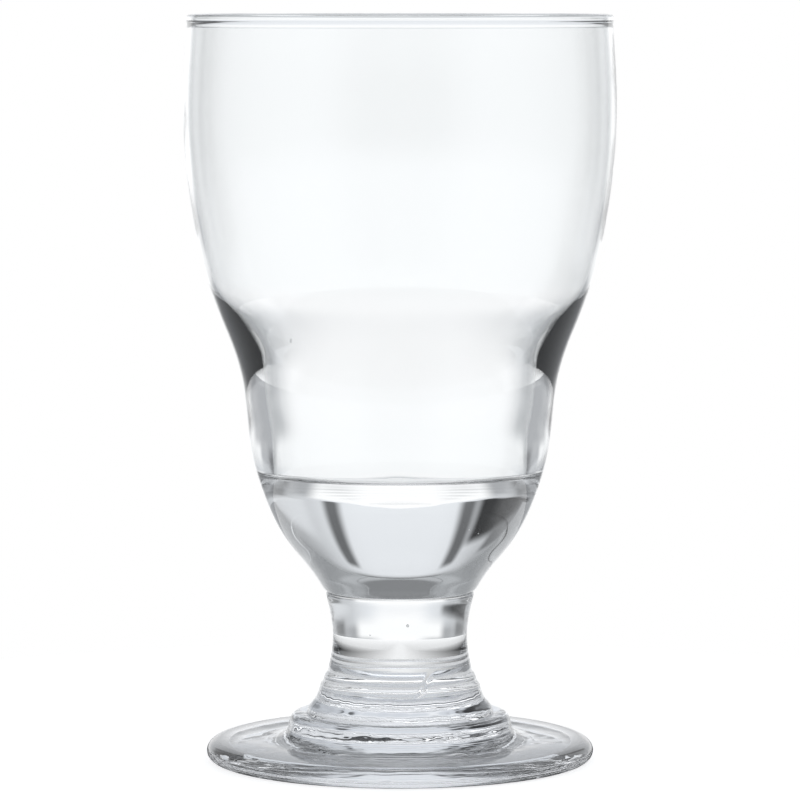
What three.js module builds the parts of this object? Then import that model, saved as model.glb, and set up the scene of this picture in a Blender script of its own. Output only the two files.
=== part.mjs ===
// A stemmed goblet in clear soda-lime glass, in millimetres, standing on z = 0 with its axis on +Z.
// The glassmaker makes three pieces and fuses them while they are hot: the blown bowl with its
// thick heel, the solid stem and the pressed foot. Each piece is one closed solid of revolution,
// and two pieces meet on the flat round face of their joint.
import * as THREE from "three";

// Joints: the radius of each fused face, shared by the two pieces that meet there.
const footJointRadius = 15.5;
const bowlJointRadius = 14.4;

// Foot: a flat disc, on it a round ledge, and on that the dome that carries the stem.
const footHeight = 13.75; // table to the joint with the stem
const footRadius = 37.2;
const widestHeight = 1.8; // where the disc's rounded edge is widest
const edgeUnder = 1.9; // how far the rounded edge reaches in under the disc
const edgeOver = 2.7; // and over its top
const discThickness = 3.88; // at the rounded edge
const discMiddle = { run: 6.5, rise: 0.17 }; // in from the rounded edge, over the disc's edge
const restRingWidth = 2.5; // the flat ring under the foot, which the goblet stands on
const punchDepth = 0.95; // the hollow that the press leaves inside that ring

// The dome and the ledge from the joint with the stem: each step goes out and down from the last.
const domeShoulder = { run: 0.8, drop: 1.95 };
const domeSide = { run: 1.4, drop: 1.8 };
const domeBase = { run: 0.35, drop: 1 };
const ledgeTop = { run: 2.45, drop: 0.25 };
const ledgeSide = { run: 0.8, drop: 1.45 };
const ledgeBase = { run: 0.7, drop: 2.1 };
const ledgeSpread = { run: 1.4, drop: 0.85 };
const domeSteps = [domeShoulder, domeSide, domeBase];
const ledgeSteps = [ledgeTop, ledgeSide, ledgeBase, ledgeSpread];

// Stem
const stemLength = 18.75; // between its two joints
const stemWaistRadius = 12.9;
const stemWaistHeight = 9.75; // over the joint with the foot
const ringCount = 2; // rings that the tool leaves round the stem's lower end
const ringPitch = 1.65;
const ringSwell = 0.18; // how proud each ring stands
const ringTopRadius = 13.95; // the stem just over its rings

// Bowl
const bellyRadius = 41.35; // the widest place of the bowl
const heelThickness = 20.3; // solid glass under the middle of the floor
const floorDish = { radius: 8, rise: 0.95 }; // the floor climbs from its middle to the corner
const floorRim = { radius: 16, rise: 1.95 };
const floorCorner = { inset: 0.45, rise: 3.1 }; // inset: from the inside of the wall's foot
const cornerFillet = 0.8; // how far from the corner its soft bend starts
const beadRadius = 0.8; // the fire-polished bead round the lip
const beadHeight = 2; // from where the wall ends in the bead to the very top

// The heel's outline from the joint up: each station's rise over the last one, and how far it
// stands in from the foot of the wall.
const collar = { rise: 3.9, inset: 11.7 };
const heelLow = { rise: 5.8, inset: 7 };
const heelHigh = { rise: 7.7, inset: 3 };
const heelStations = [collar, heelLow, heelHigh];

// The hollow part, from the floor's corner up: each station's rise over the last one, how far its
// outside stands in from the belly's radius, and the wall's thickness there.
const wallFoot = { rise: 4.6, inset: 12.75, wall: 4.1 };
const wellMiddle = { rise: 6.5, inset: 12.05, wall: 3.9 };
const waist = { rise: 6, inset: 11.25, wall: 3.7 };
const shoulderRoot = { rise: 4, inset: 10.25, wall: 3.35 };
const shoulderLow = { rise: 4, inset: 8.85, wall: 2.7 };
const shoulderHigh = { rise: 4, inset: 7.22, wall: 1.95 };
const shoulderTop = { rise: 4, inset: 5.75, wall: 1.3 };
const cupFoot = { rise: 4.3, inset: 4.3, wall: 1.15 };
const cupLow = { rise: 4.4, inset: 3.15, wall: 1.2 };
const cupMiddle = { rise: 9.8, inset: 1.35, wall: 1.05 };
const belly = { rise: 19.5, inset: 0, wall: 1.05 };
const neck = { rise: 14, inset: 0.79, wall: 1.15 };
const wellStations = [wallFoot, wellMiddle, waist];
const shoulderStations = [shoulderRoot, shoulderLow, shoulderHigh, shoulderTop];
const cupStations = [cupFoot, cupLow, cupMiddle, belly, neck];
const wallStations = [...wellStations, ...shoulderStations, ...cupStations];

// How finely the curves are cut into flat faces
const sides = 56;
const stepsPerStation = 2;
const stepsPerFillet = 4;
const stepsPerRing = 4;
const stepsPerCurve = 8;
const stepsPerEdge = 6;
const shortestStep = 0.001; // points nearer to each other than this are one point

const clearGlass = new THREE.MeshStandardMaterial({
  name: "clear_glass",
  color: 0xe9efef,
  roughness: 0.03,
  metalness: 0,
  transparent: true,
  opacity: 0.35,
});

const point = (radius, height) => new THREE.Vector2(radius, height);

// Points on an ellipse's arc, whose angles are in degrees and count from straight out.
function arcPoints(centre, radiusAcross, radiusUp, fromAngle, toAngle, steps) {
  const from = THREE.MathUtils.degToRad(fromAngle);
  const to = THREE.MathUtils.degToRad(toAngle);
  const clockwise = toAngle < fromAngle;
  const arc = new THREE.EllipseCurve(centre.x, centre.y, radiusAcross, radiusUp, from, to, clockwise);
  return arc.getPoints(steps).map((p) => point(p.x, p.y));
}

// A smooth line through stations, as points.
function smoothPoints(stations, steps) {
  return new THREE.SplineCurve(stations).getPoints(steps * (stations.length - 1));
}

// Turns an outline, which starts and ends on the axis, round +Z into one closed piece.
function turnedPiece(name, outline) {
  const apart = outline.filter((p, i) => i === 0 || p.distanceTo(outline[i - 1]) > shortestStep);
  const geometry = new THREE.LatheGeometry(apart, sides);
  geometry.rotateX(Math.PI / 2);
  const material = clearGlass.clone();
  const mesh = new THREE.Mesh(geometry, material);
  mesh.name = name;
  return mesh;
}

// A start and the stations after it, each out and down from the last one.
function downFrom(start, steps) {
  const stations = [start];
  for (const { run, drop } of steps) {
    const last = stations.at(-1);
    stations.push(point(last.x + run, last.y - drop));
  }
  return stations;
}

// The foot: a pressed disc that rests on a flat ring and carries the ledge and the dome.
function makeFoot() {
  const ringOuter = footRadius - edgeUnder;
  const punchRadius = ringOuter - restRingWidth;
  const punch = new THREE.CubicBezierCurve(
    point(0, punchDepth),
    point(punchRadius / 2, punchDepth),
    point(punchRadius * 0.85, punchDepth),
    point(punchRadius, 0),
  );
  const discEdge = point(footRadius - edgeOver, discThickness);
  const edgeUp = discThickness - widestHeight;
  const dome = downFrom(point(footJointRadius, footHeight), domeSteps);
  const ledge = downFrom(dome.at(-1), ledgeSteps);
  const disc = point(discEdge.x - discMiddle.run, discThickness + discMiddle.rise);
  return turnedPiece("foot", [
    ...punch.getPoints(stepsPerCurve),
    ...arcPoints(point(ringOuter, widestHeight), edgeUnder, widestHeight, -90, 0, stepsPerEdge / 2),
    ...arcPoints(point(discEdge.x, widestHeight), edgeOver, edgeUp, 0, 90, stepsPerEdge / 2),
    ...smoothPoints([discEdge, disc, ...ledge.reverse()], stepsPerStation + 1),
    ...smoothPoints(dome.reverse(), stepsPerStation),
    point(0, footHeight),
  ]);
}

// The stem: a solid waisted column with fine rings at its lower end.
function makeStem() {
  const ringsHeight = ringCount * ringPitch;
  const taper = (footJointRadius - ringTopRadius) / ringsHeight;
  const outline = [point(0, 0), point(footJointRadius, 0)];
  for (let i = 1; i <= ringCount * stepsPerRing; i++) {
    const height = (i / stepsPerRing) * ringPitch;
    const swell = ringSwell * Math.abs(Math.sin((Math.PI * i) / stepsPerRing));
    outline.push(point(footJointRadius - taper * height + swell, height));
  }
  const column = [
    point(ringTopRadius, ringsHeight),
    point(stemWaistRadius, stemWaistHeight),
    point(bowlJointRadius, stemLength),
  ];
  outline.push(...smoothPoints(column, stepsPerCurve / 2));
  outline.push(point(0, stemLength));
  return turnedPiece("stem", outline);
}

// Joins two lines that share a corner by a soft bend that starts the fillet's length before it.
function softCorner(first, second, fillet) {
  const corner = second[0];
  const before = first.filter((p) => p.distanceTo(corner) > fillet);
  const after = second.filter((p) => p.distanceTo(corner) > fillet);
  const start = before.at(-1).clone().sub(corner).setLength(fillet).add(corner);
  const end = after[0].clone().sub(corner).setLength(fillet).add(corner);
  const bend = new THREE.QuadraticBezierCurve(start, corner, end);
  return [...before, ...bend.getPoints(stepsPerFillet), ...after];
}

// The bowl: a solid heel, a thick-walled well, a shoulder and a thin-walled cup with a beaded lip.
function makeBowl() {
  const wallFootRadius = bellyRadius - wallFoot.inset;
  const outside = [point(bowlJointRadius, 0)];
  let height = 0;
  for (const { rise, inset } of heelStations) {
    height += rise;
    outside.push(point(wallFootRadius - inset, height));
  }
  height = heelThickness + floorCorner.rise;
  const corner = point(wallFootRadius - wallFoot.wall - floorCorner.inset, height);
  const inside = [corner];
  for (const { rise, inset, wall } of wallStations) {
    height += rise;
    outside.push(point(bellyRadius - inset, height));
    inside.push(point(bellyRadius - inset - wall, height));
  }
  const dish = point(floorDish.radius, heelThickness + floorDish.rise);
  const floor = [
    point(-dish.x, dish.y),
    point(0, heelThickness),
    dish,
    point(floorRim.radius, heelThickness + floorRim.rise),
    corner,
  ];
  const floorLine = smoothPoints(floor, stepsPerStation * 2).slice(stepsPerStation * 2);
  floorLine[0].x = 0;
  const hollow = softCorner(floorLine, smoothPoints(inside, stepsPerStation), cornerFillet);
  const beadRing = bellyRadius - neck.inset - neck.wall / 2;
  const beadMiddle = point(beadRing, height + beadHeight - beadRadius);
  return turnedPiece("bowl", [
    point(0, 0),
    ...smoothPoints(outside, stepsPerStation),
    ...arcPoints(beadMiddle, beadRadius, beadRadius, -30, 210, stepsPerEdge),
    ...hollow.reverse(),
  ]);
}

// The assembly: each piece stands on the one under it.
const goblet = new THREE.Group();
const foot = makeFoot();
const onFoot = new THREE.Group();
onFoot.position.z = footHeight;
const stem = makeStem();
const onStem = new THREE.Group();
onStem.position.z = stemLength;
const bowl = makeBowl();

onStem.add(bowl);
onFoot.add(stem, onStem);
goblet.add(foot, onFoot);

export default goblet;
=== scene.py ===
# %% [markdown]
# # A stemmed goblet in clear glass
#
# The goblet is three pieces of clear soda-lime glass that were fused while hot: a bowl with a thick
# heel, a short solid stem and a pressed foot. Nearly everything that an eye reads on it is light
# that the glass has bent, so the lesson is about three things: outlines without a kink, glass that
# is one body across its joints, and a studio whose bright and dark parts draw the edges.
#
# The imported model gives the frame. It has the right sizes but flat faces, and flat faces would show
# as facets in the refraction, so each piece is turned again here from the same sizes, finely.

# %% Load the frame
import math

import bmesh
import bpy
import numpy as np
from mathutils import Matrix, Vector


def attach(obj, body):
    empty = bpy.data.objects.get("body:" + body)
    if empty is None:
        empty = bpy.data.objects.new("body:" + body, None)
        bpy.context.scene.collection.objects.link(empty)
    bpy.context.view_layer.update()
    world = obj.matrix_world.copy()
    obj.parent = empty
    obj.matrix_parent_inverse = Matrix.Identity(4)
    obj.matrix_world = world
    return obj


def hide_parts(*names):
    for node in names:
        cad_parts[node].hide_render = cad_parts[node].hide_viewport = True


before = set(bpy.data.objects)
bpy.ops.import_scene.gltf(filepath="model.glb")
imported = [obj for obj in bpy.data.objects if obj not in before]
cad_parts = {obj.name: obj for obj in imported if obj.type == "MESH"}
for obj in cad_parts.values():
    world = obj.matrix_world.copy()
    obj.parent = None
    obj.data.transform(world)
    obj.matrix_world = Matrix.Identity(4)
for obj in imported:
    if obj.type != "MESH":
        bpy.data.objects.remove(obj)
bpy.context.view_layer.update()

# %% [markdown]
# ## Outlines that bend light smoothly
#
# Every piece is a solid of revolution, so it is drawn as half an outline and turned. The outline
# could be a bevelled polygon or a spline of the editor's own. A lens shows more than a plain
# surface does, though: where the curvature of the outline jumps, the picture inside the glass
# jumps too. A natural cubic spline has no such jump, and it takes a few lines of numpy.
#
# An outline is a list of points, each with its radius and its height in millimetres. It starts and
# ends on the axis and has the glass on its left.

# %% Helpers for outlines
MM = 0.001
SPAN_STEPS = 24  # points from one station of a spline to the next


def smooth(stations, steps=SPAN_STEPS):
    """A natural cubic spline through stations, as points."""
    at = np.array(stations, float)
    gaps = np.linalg.norm(np.diff(at, axis=0), axis=1)
    slope = np.diff(at, axis=0) / gaps[:, None]
    rules = np.eye(len(at))
    wanted = np.zeros_like(at)
    for i in range(1, len(at) - 1):
        rules[i, i - 1:i + 2] = gaps[i - 1], 2 * (gaps[i - 1] + gaps[i]), gaps[i]
        wanted[i] = 6 * (slope[i] - slope[i - 1])
    bend = np.linalg.solve(rules, wanted)  # how fast the slope turns at each station
    line = []
    for i, gap in enumerate(gaps):
        done = np.linspace(0, gap, steps, endpoint=False)[:, None]
        left = gap - done
        start = at[i] / gap - bend[i] * gap / 6
        end = at[i + 1] / gap - bend[i + 1] * gap / 6
        curved = (bend[i] * left**3 + bend[i + 1] * done**3) / (6 * gap)
        line.append(start * left + end * done + curved)
    return np.concatenate(line + [at[-1:]])


def arc(centre, across, up, start, end, steps=40):
    """Points on an ellipse's arc; the angles are in degrees and count from straight out."""
    t = np.radians(np.linspace(start, end, steps + 1))
    return np.stack([centre[0] + across * np.cos(t), centre[1] + up * np.sin(t)], 1)


def sweep(p0, p1, p2, p3, steps=60):
    """Points on a cubic Bezier curve."""
    t = np.linspace(0, 1, steps + 1)[:, None]
    p0, p1, p2, p3 = (np.array(p, float) for p in (p0, p1, p2, p3))
    return (1 - t)**3 * p0 + 3 * (1 - t)**2 * t * p1 + 3 * (1 - t) * t**2 * p2 + t**3 * p3


def nip(outline, height, depth=0.4, reach=0.3):
    """Draws an outline in near one height, as hot glass does where two pieces were fused."""
    drawn_in = depth * np.exp(-np.abs(outline[:, 1] - height) / reach)
    return np.stack([outline[:, 0] - drawn_in, outline[:, 1]], 1)


print("helpers for outlines are ready")

# %% [markdown]
# ## From outline to glass
#
# Turning could be a Screw modifier. Mesh code is chosen because two things have to be exact. The
# flat face of each joint needs a second material, since the glass there was fused and has no
# surface. And hot glass is never quite round: the skin waves by hundredths of a millimetre, which
# the refraction turns into the soft streaks of a real glass. That wave is put into the vertices,
# along their normals, as a sum of a few sines round and along the piece.

# %% Waves for the skin
rng = np.random.default_rng(7)


def waves(count, round_most, along_most):
    """A set of random waves: turns round the piece, rate along its outline, phase and height.

    The heights add up to 1. A wave with the most turns is a third as high as one with none.
    """
    turns = rng.integers(1, round_most + 1, count)
    rate = rng.uniform(-along_most, along_most, count)
    phase = rng.uniform(0, 2 * math.pi, count)
    size = 1 / (1 + turns / round_most * 2)
    return turns, rate, phase, size / np.sum(size)


def wave_sum(chosen, angle, along):
    """How high a set of waves stands at an angle round the piece and a length along its outline."""
    return sum(s * np.cos(t * angle + r * along + f) for t, r, f, s in zip(*chosen))


def fade(distance, width):
    """0 before a border, 1 from a width beyond it, and even between."""
    return np.clip(distance / width, 0, 1)


def bell(distance, width):
    """1 in the middle of a soft spot, and nearly 0 from two widths away."""
    return np.exp(-(distance / width)**2)


print("waves, fades and soft spots are ready")

# %% Turn an outline into a closed mesh
SIDES = 320
SHORTEST_STEP = 1e-4  # points nearer to each other than this are one point


def turned_points(outline, base, skin):
    """The vertices of a piece: the start on the axis, ring after ring, and the end on the axis."""
    apart = np.linalg.norm(np.diff(outline, axis=0), axis=1) > SHORTEST_STEP
    line = outline[np.concatenate([[True], apart])]
    heading = np.gradient(line, axis=0)
    normal = np.stack([heading[:, 1], -heading[:, 0]], 1)
    normal /= np.linalg.norm(normal, axis=1)[:, None]
    along = np.concatenate([[0], np.cumsum(np.linalg.norm(np.diff(line, axis=0), axis=1))])
    angle = np.arange(SIDES) / SIDES * 2 * math.pi
    ring = line[1:-1]
    proud = skin(ring[:, :1], ring[:, 1:], along[1:-1, None], angle[None])
    radius = ring[:, :1] + normal[1:-1, :1] * proud
    height = ring[:, 1:] + normal[1:-1, 1:] * proud + base
    xyz = np.stack([radius * np.cos(angle), radius * np.sin(angle), height], 2).reshape(-1, 3)
    start, end = (0, 0, line[0, 1] + base), (0, 0, line[-1, 1] + base)
    return np.concatenate([[start], xyz, [end]]) * MM


def closed_faces(rings):
    """A fan at the start, a band of four-sided faces between rings, and a fan at the end."""
    here = np.arange(SIDES)
    after = (here + 1) % SIDES
    faces = [(0, 1 + b, 1 + a) for a, b in zip(here, after)]
    for ring in range(rings - 1):
        low, high = 1 + ring * SIDES, 1 + (ring + 1) * SIDES
        faces += np.stack([low + here, low + after, high + after, high + here], 1).tolist()
    low = 1 + (rings - 1) * SIDES
    faces += [(low + a, low + b, low + SIDES) for a, b in zip(here, after)]
    return faces


def turn(name, outline, glass, joint, base, skin):
    """Turns an outline round +Z into a piece that stands base over the table.

    skin(radius, height, along, angle) says how far the skin stands proud of the outline.
    """
    verts = turned_points(outline, base, skin)
    faces = closed_faces((len(verts) - 2) // SIDES)
    mesh = bpy.data.meshes.new(name)
    mesh.from_pydata(verts.tolist(), [], faces)
    mesh.materials.append(glass)
    mesh.materials.append(joint)
    mesh.polygons.foreach_set("use_smooth", [True] * len(faces))
    piece = bpy.data.objects.new(name, mesh)
    bpy.context.scene.collection.objects.link(piece)
    return piece


print("turning with", SIDES, "sides")

# %% Finish a turned piece: fused ends and seeds
SHARP_ANGLE = math.radians(50)  # faces that meet at more than this keep a crisp edge


def fuse(piece, ends):
    """Gives the joint's own material to the flat end faces, which are the first or the last fan."""
    faces = piece.data.polygons
    fans = {"bottom": range(SIDES), "top": range(len(faces) - SIDES, len(faces))}
    for end in ends:
        for i in fans[end]:
            faces[i].material_index = 1
    piece.data.set_sharp_from_angle(angle=SHARP_ANGLE)


def add_seeds(piece, seeds):
    """Puts seeds, which are tiny bubbles, in the glass: x, y, z and radius in mm, and stretch."""
    whole = bmesh.new()
    whole.from_mesh(piece.data)
    for x, y, z, radius, stretch in seeds:
        place = Matrix.Translation(Vector((x, y, z)) * MM) @ Matrix.Diagonal((1, 1, stretch, 1))
        seed = bmesh.ops.create_uvsphere(
            whole, u_segments=16, v_segments=10, radius=radius * MM, matrix=place)
        shell = {face for vert in seed["verts"] for face in vert.link_faces}
        bmesh.ops.reverse_faces(whole, faces=list(shell))
        for face in shell:
            face.smooth = True
    whole.to_mesh(piece.data)
    whole.free()


print("an edge is sharp from", round(math.degrees(SHARP_ANGLE)), "degrees")

# %% [markdown]
# ## The glass
#
# Clear soda-lime glass is a surface that reflects and refracts with an index of about 1.52, with
# hardly a tint of its own. A Glass shader would do, but the Principled shader with Transmission
# Weight 1 is what other programs read. What keeps it from looking like a plain clear solid is
# small: a waviness finer than the mesh holds. It comes from one node group, which is placed in the
# material of each piece with its own fineness. The skin itself is fire-polished and has no
# roughness. The faces of the joints get a material that is wholly see-through, so that light
# passes from piece to piece unbent.

# %% Build the node group for the skin of the glass


def feed(tree, node, inputs):
    """Gives a node its inputs, by name or number: a socket is linked, a plain value is set."""
    for key, value in inputs.items():
        if isinstance(value, bpy.types.NodeSocket):
            tree.links.new(value, node.inputs[key])
        else:
            node.inputs[key].default_value = value


skin_group = bpy.data.node_groups.new("glass_skin", "ShaderNodeTree")
fineness = skin_group.interface.new_socket(
    "Waves per Metre", in_out="INPUT", socket_type="NodeSocketFloat")
fineness.default_value = 120
skin_group.interface.new_socket("Height", in_out="OUTPUT", socket_type="NodeSocketFloat")
group_in = skin_group.nodes.new("NodeGroupInput")
group_out = skin_group.nodes.new("NodeGroupOutput")
place = skin_group.nodes.new("ShaderNodeTexCoord")
wave = skin_group.nodes.new("ShaderNodeTexNoise")
feed(skin_group, wave, {
    "Vector": place.outputs["Object"],
    "Scale": group_in.outputs["Waves per Metre"],
    "Detail": 1.5,
})
feed(skin_group, group_out, {"Height": wave.outputs["Fac"]})
print("node group", skin_group.name, "has", len(skin_group.nodes), "nodes")

# %% Place the group in one material for each piece
GLASS_INDEX = 1.52
CLEAR = (0.985, 0.992, 0.992, 1)
# Painted shade: the foot's glass is a darker copy of the clear glass, for light lost inside it.
SHADED_FOOT_TINT = (0.79, 0.81, 0.84, 1)  # stands for light that is lost in many bounces inside the foot


def clear_glass(name, per_metre, wave_height, tint):
    """Polished glass whose skin has so many waves per metre, so many millimetres high."""
    material = bpy.data.materials.new(name)
    material.use_nodes = True
    tree = material.node_tree
    skin = tree.nodes.new("ShaderNodeGroup")
    skin.node_tree = skin_group
    feed(tree, skin, {"Waves per Metre": per_metre})
    bump = tree.nodes.new("ShaderNodeBump")
    feed(tree, bump, {
        "Strength": 1,
        "Distance": wave_height * MM,
        "Height": skin.outputs["Height"],
    })
    feed(tree, tree.nodes["Principled BSDF"], {
        "Base Color": tint,
        "Roughness": 0,
        "IOR": GLASS_INDEX,
        "Transmission Weight": 1,
        "Normal": bump.outputs["Normal"],
    })
    return material


bowl_glass = clear_glass("bowl_glass", 90, 0.02, CLEAR)
stem_glass = clear_glass("stem_glass", 120, 0.02, CLEAR)
foot_glass = clear_glass("foot_glass", 160, 0.03, SHADED_FOOT_TINT)
fused = bpy.data.materials.new("fused_joint")
fused.use_nodes = True
fused.node_tree.nodes["Principled BSDF"].inputs["Alpha"].default_value = 0
print("materials:", bowl_glass.name, stem_glass.name, foot_glass.name, fused.name)

# %% [markdown]
# ## The foot
#
# The foot is a pressed disc. It stands on a flat ring and has a shallow hollow that the press left
# under it. On the disc stands a low round ledge, and on that the dome that meets the stem. One
# outline does it all: hollow, ring, rounded edge, disc, ledge and dome. The sharp line where the
# dome stands on the ledge is where two smooth curves meet. Pressed glass chills where it touches
# the mould, and its skin wrinkles there. The wrinkles fade out towards the axis, the rounded edge
# and the ring.

# %% Sizes of the foot, and its outline
FOOT_JOINT = 15.5  # radius of the fused face under the stem
FOOT_HEIGHT = 13.75
FOOT_RADIUS = 37.2
DISC = 3.88  # thickness of the disc at its rounded edge
WIDEST = 1.8  # height where the rounded edge is widest
UNDER, OVER = 1.9, 2.7  # how far the rounded edge reaches in, under the disc and over it
REST_RING = 2.5  # width of the flat ring that the goblet stands on
PUNCH = 0.95  # depth of the hollow inside that ring
CREASE = (18.05, 9)  # where the dome stands on the ledge

ring_edge = FOOT_RADIUS - UNDER
punch_edge = ring_edge - REST_RING
disc_edge = FOOT_RADIUS - OVER
hollow = sweep((0, PUNCH), (punch_edge / 2, PUNCH), (punch_edge * 0.85, PUNCH), (punch_edge, 0))
edge_under = arc((ring_edge, WIDEST), UNDER, WIDEST, -90, 0)
edge_over = arc((disc_edge, WIDEST), OVER, DISC - WIDEST, 0, 90)
disc_and_ledge = smooth([
    (disc_edge, DISC), (28, 4.05), (23.4, 4.35), (22, 5.2), (21.3, 7.3), (20.5, 8.75), CREASE,
])
dome = smooth([CREASE, (17.7, 10), (16.3, 11.8), (FOOT_JOINT, FOOT_HEIGHT)])
foot_top = [(0, FOOT_HEIGHT)]
foot_outline = np.concatenate([hollow, edge_under, edge_over, disc_and_ledge, dome, foot_top])
print("the foot's outline has", len(foot_outline), "points")

# %% Turn the foot
WRINKLE = 0.09  # height of the wrinkles in its skin
WRINKLES_START, WRINKLES_END = 6, disc_edge + 0.5  # the radii between which they run
foot_waves = waves(24, 40, 1.2)


def wrinkled(radius, height, along, angle):
    """The skin of the foot, with its wrinkles between the axis and the rounded edge."""
    pressed = fade(radius - WRINKLES_START, width=8) * fade(WRINKLES_END - radius, width=4)
    over_ring = fade(height, width=0.5)
    return wave_sum(foot_waves, angle, along) * pressed * over_ring * WRINKLE


foot = turn("foot_pressed", foot_outline, foot_glass, fused, 0, wrinkled)
fuse(foot, ["top"])
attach(foot, "root")
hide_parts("foot")
print("foot:", len(foot.data.vertices), "vertices")

# %% [markdown]
# ## The stem
#
# The stem is a solid waisted column. Two fine rings run round its lower end, where a tool turned
# against the hot glass, and a nick crosses them at one place. Faint flutes on one side bend the
# studio into upright stripes. A seed is a tiny bubble: a small closed skin that faces inward, so
# that the light leaves the glass there and comes back in.

# %% Sizes of the stem, and its outline
BOWL_JOINT = 14.4  # radius of the fused face under the bowl
STEM_LENGTH = 18.75
WAIST = (12.9, 9.75)
RINGS = 2
RING_PITCH = 1.65
RING_SWELL = 0.18  # how proud each ring stands
RING_TOP = 13.95  # radius of the stem just over its rings

rings_height = RINGS * RING_PITCH
up = np.linspace(0, rings_height, RINGS * SPAN_STEPS + 1)
taper = (FOOT_JOINT - RING_TOP) * up / rings_height
swell = RING_SWELL * np.abs(np.sin(math.pi * up / RING_PITCH))
rings = np.stack([FOOT_JOINT - taper + swell, up], 1)
column = smooth([(RING_TOP, rings_height), WAIST, (BOWL_JOINT, STEM_LENGTH)], 60)
stem_outline = np.concatenate([[(0, 0)], rings, nip(column, STEM_LENGTH), [(0, STEM_LENGTH)]])
print("the stem's outline has", len(stem_outline), "points")

# %% Turn the stem
DRAWN = 0.015  # height of the waves that drawing the stem out left
NICK_AT = math.radians(-73)  # where the nick stands; -90 degrees faces the camera
NICK_DEPTH, NICK_WIDTH = 0.16, 0.035
NICK_LEAN, NICK_MIDDLE = 0.05, 1.6  # it leans as it rises, about this height
FLUTES_AT = math.radians(-38)
FLUTE_HEIGHT, FLUTES_ROUND, FLUTES_WIDTH = 0.004, 76, 0.22
STEM_SEEDS = [(1.2, -6, 27.2, 0.22, 1.5), (-3.5, 2, 24.6, 0.1, 1.2)]
stem_waves = waves(10, 12, 0.3)


def drawn(radius, height, along, angle):
    """The skin of the stem: waves and flutes on the column, and the nick across the rings."""
    angle_from_x = (angle + math.pi) % (2 * math.pi) - math.pi
    over_rings = fade(height - rings_height, width=2)
    column_only = over_rings * fade(STEM_LENGTH - height, width=2)
    flutes = np.cos(angle * FLUTES_ROUND) * bell(angle_from_x - FLUTES_AT, FLUTES_WIDTH)
    nick_line = NICK_AT + NICK_LEAN * (height - NICK_MIDDLE)
    nick = bell(angle_from_x - nick_line, NICK_WIDTH)
    rings_only = (1 - fade(height - rings_height, width=1.5)) * fade(height, width=0.5)
    skin = (wave_sum(stem_waves, angle, along) * DRAWN + flutes * FLUTE_HEIGHT) * column_only
    return skin - nick * NICK_DEPTH * rings_only


stem = turn("stem_waisted", stem_outline, stem_glass, fused, FOOT_HEIGHT, drawn)
fuse(stem, ["bottom", "top"])
add_seeds(stem, STEM_SEEDS)
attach(stem, "root")
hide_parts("stem")
print("stem:", len(stem.data.vertices), "vertices")

# %% [markdown]
# ## The bowl
#
# The bowl has a solid heel, a thick-walled well, a shoulder and a thin cup that ends in a bead,
# which the fire polished round. Its inside isn't an offset of its outside: the wall thins from
# the well, over the shoulder, to the cup, so each station of the wall has its own thickness. The
# tool that opened the bowl left a shallow round mark in the middle of the floor. The heel was
# worked more than the cup, so finer waves run over it, which bend the dark bands beside its bright
# middle.

# %% Sizes of the bowl, and the lines of its wall
HEEL = 20.3  # solid glass under the middle of the floor
HEEL_SIDE = [(16.9, 3.9), (21.6, 9.7), (25.6, 17.4)]
FLOOR = [(8, HEEL + 0.95), (16, HEEL + 1.95)]
CORNER = (24.05, HEEL + 3.1)  # where the floor meets the wall

# Each station of the wall: height over the joint, outside radius and thickness
WELL = [(28, 28.6, 4.1), (34.5, 29.3, 3.9), (40.5, 30.1, 3.7)]
SHOULDER = [(44.5, 31.1, 3.35), (48.5, 32.5, 2.7), (52.5, 34.13, 1.95), (56.5, 35.6, 1.3)]
CUP = [(60.8, 37.05, 1.15), (65.2, 38.2, 1.2), (75, 40, 1.05), (94.5, 41.35, 1.05)]
NECK = (108.5, 40.56, 1.15)
wall_stations = WELL + SHOULDER + CUP + [NECK]

outer_stations = [(radius, height) for height, radius, wall in wall_stations]
inner_stations = [(radius - wall, height) for height, radius, wall in wall_stations]
outside = smooth([(BOWL_JOINT, 0)] + HEEL_SIDE + outer_stations)
wall_line = smooth([CORNER] + inner_stations)
mirrored_floor = [(-radius, height) for radius, height in reversed(FLOOR)]
floor_line = smooth(mirrored_floor + [(0, HEEL)] + FLOOR + [CORNER])[len(FLOOR) * SPAN_STEPS:]
print("wall from", WELL[0][2], "mm in the well to", NECK[2], "mm at the neck")

# %% The floor's mark, its corner and the bead
MARK_RADIUS, MARK_DEPTH, MARK_EDGE = 4.9, 0.1, 0.12
RIPPLE_HEIGHT, RIPPLE_RATE = 0.012, 2.1
RIPPLE_START, RIPPLE_END = 7, 21  # the radii between which the floor ripples
FILLET = 0.8  # how far from the floor's corner its soft bend starts
BEAD_RADIUS = 0.8
BEAD_HEIGHT = 2  # from the neck to the very top


def rounded(first, second, size):
    """Joins two lines that share a corner by a soft bend, which starts size before the corner."""
    corner = second[0]
    before, after = (np.linalg.norm(line - corner, axis=1) > size for line in (first, second))
    t = np.linspace(0, 1, SPAN_STEPS + 1)[:, None]
    start, end = first[before][-1], second[after][0]
    bend = (1 - t)**2 * start + 2 * t * (1 - t) * corner + t**2 * end
    return np.concatenate([first[before][:-1], bend, second[after][1:]])


out = floor_line[:, 0]
mark = MARK_DEPTH / (1 + np.exp((out - MARK_RADIUS) / MARK_EDGE))
rippled = fade(out - RIPPLE_START, width=3) * fade(RIPPLE_END - out, width=3)
floor_line[:, 1] += RIPPLE_HEIGHT * np.sin(out * RIPPLE_RATE) * rippled - mark
inside = rounded(floor_line, wall_line, FILLET)
inside[0] = 0, HEEL - MARK_DEPTH
bead_middle = (NECK[1] - NECK[2] / 2, NECK[0] + BEAD_HEIGHT - BEAD_RADIUS)
bead = arc(bead_middle, BEAD_RADIUS, BEAD_RADIUS, start=-30, end=210)
bowl_outline = np.concatenate([[(0, 0)], nip(outside, 0), bead, inside[::-1]])
print("the bowl's outline has", len(bowl_outline), "points")

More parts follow.
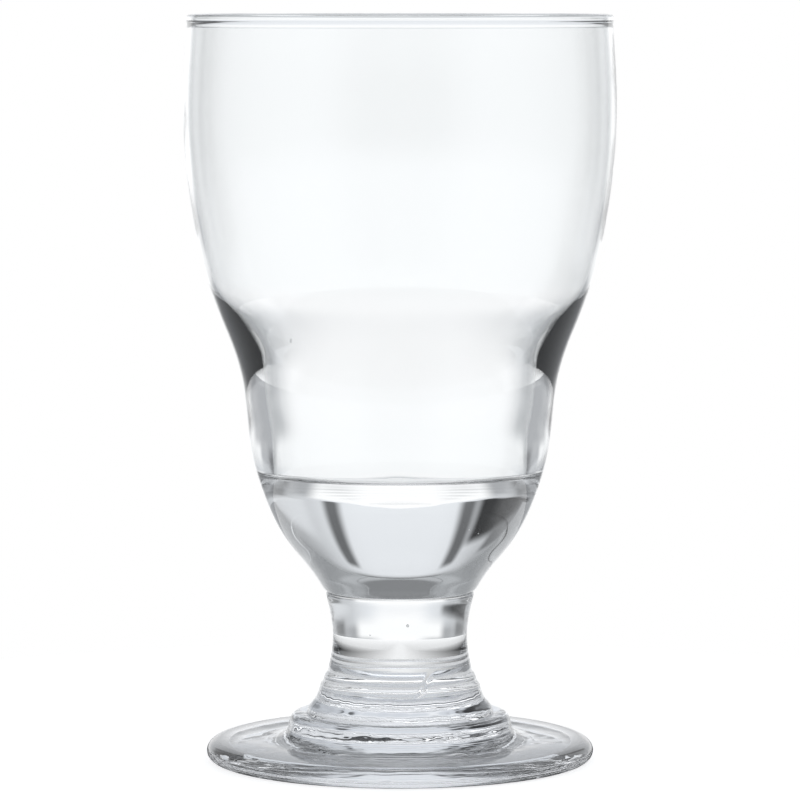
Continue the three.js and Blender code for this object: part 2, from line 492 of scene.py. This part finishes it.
# %% Turn the bowl
BROAD, FINE = 0.03, 0.02  # heights of the broad waves and of the fine ones on the heel
SET_IN = 0.6  # share of BROAD by which the skin is moved in, so that crests hardly widen it
BROAD_END, FINE_END = 108, 26  # heights up to which the two sets of waves run
HEEL_END = 40  # where the outside of the heel ends, along the outline
BOWL_SEEDS = [
    (11.5, -13, 47.4, 0.16, 1), (13, -11.5, 46.6, 0.12, 1), (-20.2, -17.6, 81.5, 0.16, 2.2),
]
bowl_waves = waves(8, 6, 0.06)
heel_waves = waves(16, 40, 0.7)


def blown(radius, height, along, angle):
    """The skin of the bowl: broad waves up to the neck, and fine ones on the heel's outside."""
    off_axis = fade(radius, width=10)
    up_to_neck = fade(height, width=6) * fade(BROAD_END - height, width=10)
    on_heel = fade(height, width=3) * fade(FINE_END - height, width=8) * (along < HEEL_END)
    broad = wave_sum(bowl_waves, angle, along) * up_to_neck * off_axis
    return (broad - SET_IN) * BROAD + wave_sum(heel_waves, angle, along) * on_heel * FINE


bowl = turn("bowl_blown", bowl_outline, bowl_glass, fused, FOOT_HEIGHT + STEM_LENGTH, blown)
fuse(bowl, ["bottom"])
add_seeds(bowl, BOWL_SEEDS)
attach(bowl, "root")
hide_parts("bowl")
print("bowl:", len(bowl.data.vertices), "vertices")

# %% [markdown]
# ## The camera
#
# The photograph was taken from about 0.9 m with a long lens, a little above the goblet's middle:
# the ellipse of the rim is nearly closed and that of the foot is open, which gives the height and
# the tilt. A physical lens of 212 mm on a 36 mm frame has the same field.

# %% Set the camera
CAMERA_DISTANCE, CAMERA_HEIGHT = 0.899, 0.1473
CAMERA_TILT = 4.961  # degrees down
LENS_LENGTH, LENS_FRAME = 211.88, 36  # millimetres

lens = bpy.data.cameras.new("portrait_lens")
lens.sensor_width = LENS_FRAME
lens.lens = LENS_LENGTH
camera = bpy.data.objects.new("camera", lens)
camera.location = (0, -CAMERA_DISTANCE, CAMERA_HEIGHT)
camera.rotation_euler = (math.radians(90 - CAMERA_TILT), 0, 0)
bpy.context.scene.collection.objects.link(camera)
bpy.context.scene.camera = camera
print("camera at", tuple(round(v, 3) for v in camera.location))

# %% [markdown]
# ## The studio
#
# Clear glass has no colour to light, so it is lit by what stands round it. A white backdrop and a
# pale table fill it with light, and the dark of the room beside and above them comes in at the
# edges, where the glass bends light the most. The room could be built from panels. A world whose
# brightness depends on the direction alone does the same with less noise. The camera sees the
# backdrop as plain white, while the glass mirrors and bends the panels.
#
# Directions are given in degrees: 0 round is behind the goblet, 90 is on the camera's right, and
# 180 is behind the camera. Heights count up from level. Each panel lies over those before it.

# %% Start the studio's world from its directions
MIX_FACTOR, MIX_UNDER, MIX_OVER, MIX_RESULT = 0, 6, 7, 2  # the colour sockets of a Mix node

world = bpy.data.worlds.new("studio")
world.use_nodes = True
bpy.context.scene.world = world
room = world.node_tree
room.nodes.clear()


def reckon(tree, kind, *values):
    """The result of a Math node that is fed by sockets or plain numbers."""
    node = tree.nodes.new("ShaderNodeMath")
    node.operation = kind
    feed(tree, node, dict(enumerate(values)))
    return node.outputs[0]


def lay_over(tree, cover, under, over):
    """The colour under, with the colour over laid on it where cover is 1."""
    mix = tree.nodes.new("ShaderNodeMix")
    mix.data_type = "RGBA"
    feed(tree, mix, {MIX_FACTOR: cover, MIX_UNDER: under, MIX_OVER: over})
    return mix.outputs[MIX_RESULT]


where = room.nodes.new("ShaderNodeTexCoord")
split = room.nodes.new("ShaderNodeSeparateXYZ")
feed(room, split, {"Vector": where.outputs["Generated"]})
around = reckon(room, "DEGREES", reckon(room, "ARCTAN2", split.outputs["X"], split.outputs["Y"]))
level_up = reckon(room, "DEGREES", reckon(room, "ARCSINE", split.outputs["Z"]))
both_sides = reckon(room, "ABSOLUTE", around)
print("directions take", len(room.nodes), "nodes")

# %% Hang panels of light and dark in it


def between(angle, low, high, soft):
    """1 between two angles and 0 outside them, with soft edges."""
    edges = []
    for near, far in ((low - soft, low + soft), (high + soft, high - soft)):
        edge = room.nodes.new("ShaderNodeMapRange")
        edge.interpolation_type = "SMOOTHSTEP"
        feed(room, edge, {"Value": angle, "From Min": near, "From Max": far})
        edges.append(edge.outputs["Result"])
    return reckon(room, "MULTIPLY", *edges)


def grey(level):
    """A slightly cold grey."""
    return level * 0.97, level, level * 1.04, 1


# Each panel: colour, which sides it hangs on, its reach round and up, and how soft its upright
# edges and its level ones are. A reach past 0 or 180 round, or past straight up, has no edge there
panels = [
    (grey(0.35), both_sides, (60, 220), (-4, 100), 10, 10),  # the room beside the table
    (grey(0.04), both_sides, (150, 220), (-60, 34), 20, 6),  # the dark behind the camera
    (grey(0.8), both_sides, (78, 220), (-95, -9), 10, 5),  # pale floor on the camera's side
    (grey(0.9), both_sides, (-90, 32), (2, 46), 22, 4),  # the lit backdrop
    (grey(0.65), both_sides, (-30, 14), (-44, -10), 7, 7),  # where it sweeps down to the table
    ((1.1, 1.1, 1.11, 1), both_sides, (-30, 14), (-18, 8), 6, 6),  # its bright foot
    ((1.08, 1.09, 1.1, 1), both_sides, (-30, 28), (-8, 5), 4, 4),  # widest at the table's height
    (grey(0.5), both_sides, (30, 220), (52, 120), 5, 5),  # the ceiling
    (grey(0.25), both_sides, (-30, 220), (68, 120), 4, 4),  # its dim middle
    (grey(0.05), both_sides, (-30, 26), (49, 70), 4, 4),  # the dark gap over the backdrop
    (grey(0.2), both_sides, (44, 62), (-8, 7), 4, 4),  # the stands beside the table
    (grey(0.75), around, (33, 70), (10, 30), 4, 4),  # a pale board on the right
    (grey(0.15), both_sides, (19, 25), (14, 40), 2, 2),  # narrow gaps at the backdrop's sides
    (grey(0.02), around, (-62, -26), (9, 30), 3, 3),  # a black board on the left
    (grey(0.15), around, (-62, -40), (28, 40), 3, 3),  # and the dark over it
]
light = grey(0.45)  # the room where no panel hangs
for colour, side, reach_round, reach_up, soft_round, soft_up in panels:
    wide, tall = between(side, *reach_round, soft_round), between(level_up, *reach_up, soft_up)
    light = lay_over(room, reckon(room, "MULTIPLY", wide, tall), light, colour)
print("panels:", len(panels))

# %% Show the camera a plain white backdrop
WHITE = (1, 1, 1, 1)

path = room.nodes.new("ShaderNodeLightPath")
sky = room.nodes.new("ShaderNodeBackground")
out_node = room.nodes.new("ShaderNodeOutputWorld")
feed(room, sky, {"Color": lay_over(room, path.outputs["Is Camera Ray"], light, WHITE)})
feed(room, out_node, {"Surface": sky.outputs["Background"]})
print("studio of", len(room.nodes), "nodes")

# %% [markdown]
# ## The table
#
# The camera sees a white table. Seen through the glass or mirrored in it, the table shows painted
# light and shade: it is bright under the foot and far from it, darkened by a painted shadow in the
# ring just outside the foot's edge, and dimmed by painted shade towards the camera. A painted strip
# of light runs back from the foot, as a lamp behind the goblet leaves on a table. These painted
# tones give the foot its dark edge and the dome its dark lines.

# %% Lay the pale table
TABLE_RADIUS = 0.16

bpy.ops.mesh.primitive_circle_add(
    vertices=96, radius=TABLE_RADIUS, fill_type="NGON", location=(0, 0, 0))
table = bpy.context.object
table.name = "table"
paper = bpy.data.materials.new("pale_table")
paper.use_nodes = True
print("the table is", round(2 * TABLE_RADIUS, 2), "m wide")

# %% Paint light and shade into the table's tones
# Painted light and shade: a painted shadow in the ring round the foot, painted shade on the camera's
# side, and a painted strip of light behind the goblet.
MIDDLE_TONE = 0.9
PAINTED_SHADOW_RING_TONES = ((32, 0.8), (37.6, 0.02), (49.6, 0.02), (80, 0.75))  # millimetres out, and tone
FRONT_PAINTED_SHADE = 0.25  # share of the tones that is left on the camera's side
FRONT_EDGE = 0.01  # half the width in which the front goes over to the back, in metres
PAINTED_LIGHT_STRIP_TONE = 0.9
STRIP_START, STRIP_CORE, STRIP_EDGE = 0.03, 0.002, 0.034  # how far back, and half widths

tones = paper.node_tree
spot = tones.nodes.new("ShaderNodeTexCoord")
away = tones.nodes.new("ShaderNodeVectorMath")
away.operation = "LENGTH"
feed(tones, away, {0: spot.outputs["Object"]})
painted_shadow_ramp = tones.nodes.new("ShaderNodeValToRGB")
feed(tones, painted_shadow_ramp, {"Fac": reckon(tones, "DIVIDE", away.outputs["Value"], TABLE_RADIUS)})
stops = painted_shadow_ramp.color_ramp.elements
stops[0].color = (MIDDLE_TONE, MIDDLE_TONE, MIDDLE_TONE, 1)
for radius, level in PAINTED_SHADOW_RING_TONES:
    stops.new(radius * MM / TABLE_RADIUS).color = (level, level, level, 1)

split = tones.nodes.new("ShaderNodeSeparateXYZ")
feed(tones, split, {"Vector": spot.outputs["Object"]})
front = tones.nodes.new("ShaderNodeMapRange")
feed(tones, front, {
    "Value": split.outputs["Y"],
    "From Min": -FRONT_EDGE, "From Max": FRONT_EDGE, "To Min": FRONT_PAINTED_SHADE, "To Max": 1,
})
painted_light_strip = tones.nodes.new("ShaderNodeMapRange")
feed(tones, painted_light_strip, {
    "Value": reckon(tones, "ABSOLUTE", split.outputs["X"]),
    "From Min": STRIP_CORE, "From Max": STRIP_EDGE, "To Min": PAINTED_LIGHT_STRIP_TONE, "To Max": 0,
})
far_back = reckon(tones, "GREATER_THAN", split.outputs["Y"], STRIP_START)
painted_light_strip_back = reckon(tones, "MULTIPLY", painted_light_strip.outputs["Result"], far_back)
painted_ring_and_strip = reckon(tones, "MAXIMUM", painted_light_strip_back, painted_shadow_ramp.outputs["Color"])
painted_light_and_shade = reckon(tones, "MULTIPLY", front.outputs["Result"], painted_ring_and_strip)
print("tones take", len(tones.nodes), "nodes")

# %% Show the painted light and shade to the glass alone
# For rays from the glass the table glows with its painted light and shade, though it is no lamp; the
# camera sees it evenly bright, with only its real shadow.
PAPER, GLOW = 0.9, 0.75  # how much light the table sends back, and how much it gives itself

path = tones.nodes.new("ShaderNodeLightPath")
plain = path.outputs["Is Camera Ray"]
by_glass = reckon(
    tones, "MAXIMUM", path.outputs["Is Glossy Ray"], path.outputs["Is Transmission Ray"])
painted_tone = reckon(tones, "MAXIMUM", plain, painted_light_and_shade)
painted_glow = reckon(tones, "MULTIPLY", painted_tone, GLOW)
feed(tones, tones.nodes["Principled BSDF"], {
    "Base Color": reckon(tones, "MULTIPLY", painted_tone, PAPER),
    "Roughness": 0.9,
    "Specular IOR Level": 0,
    "Emission Color": WHITE,
    "Emission Strength": reckon(
        tones, "MULTIPLY", painted_glow, reckon(tones, "MAXIMUM", plain, by_glass)),
})
table.data.materials.append(paper)
print("table laid, with", len(tones.nodes), "nodes in its material")

# %% [markdown]
# ## Last settings
#
# Light that is caught in the thick heel bounces many times before it comes out. With the usual
# limit it would be cut off and the heel would go black, so the limits are raised.

# %% Finish
BOUNCES = 16

scene = bpy.context.scene
scene.view_settings.view_transform = "Standard"
scene.cycles.max_bounces = BOUNCES
scene.cycles.glossy_bounces = BOUNCES
scene.cycles.transmission_bounces = BOUNCES
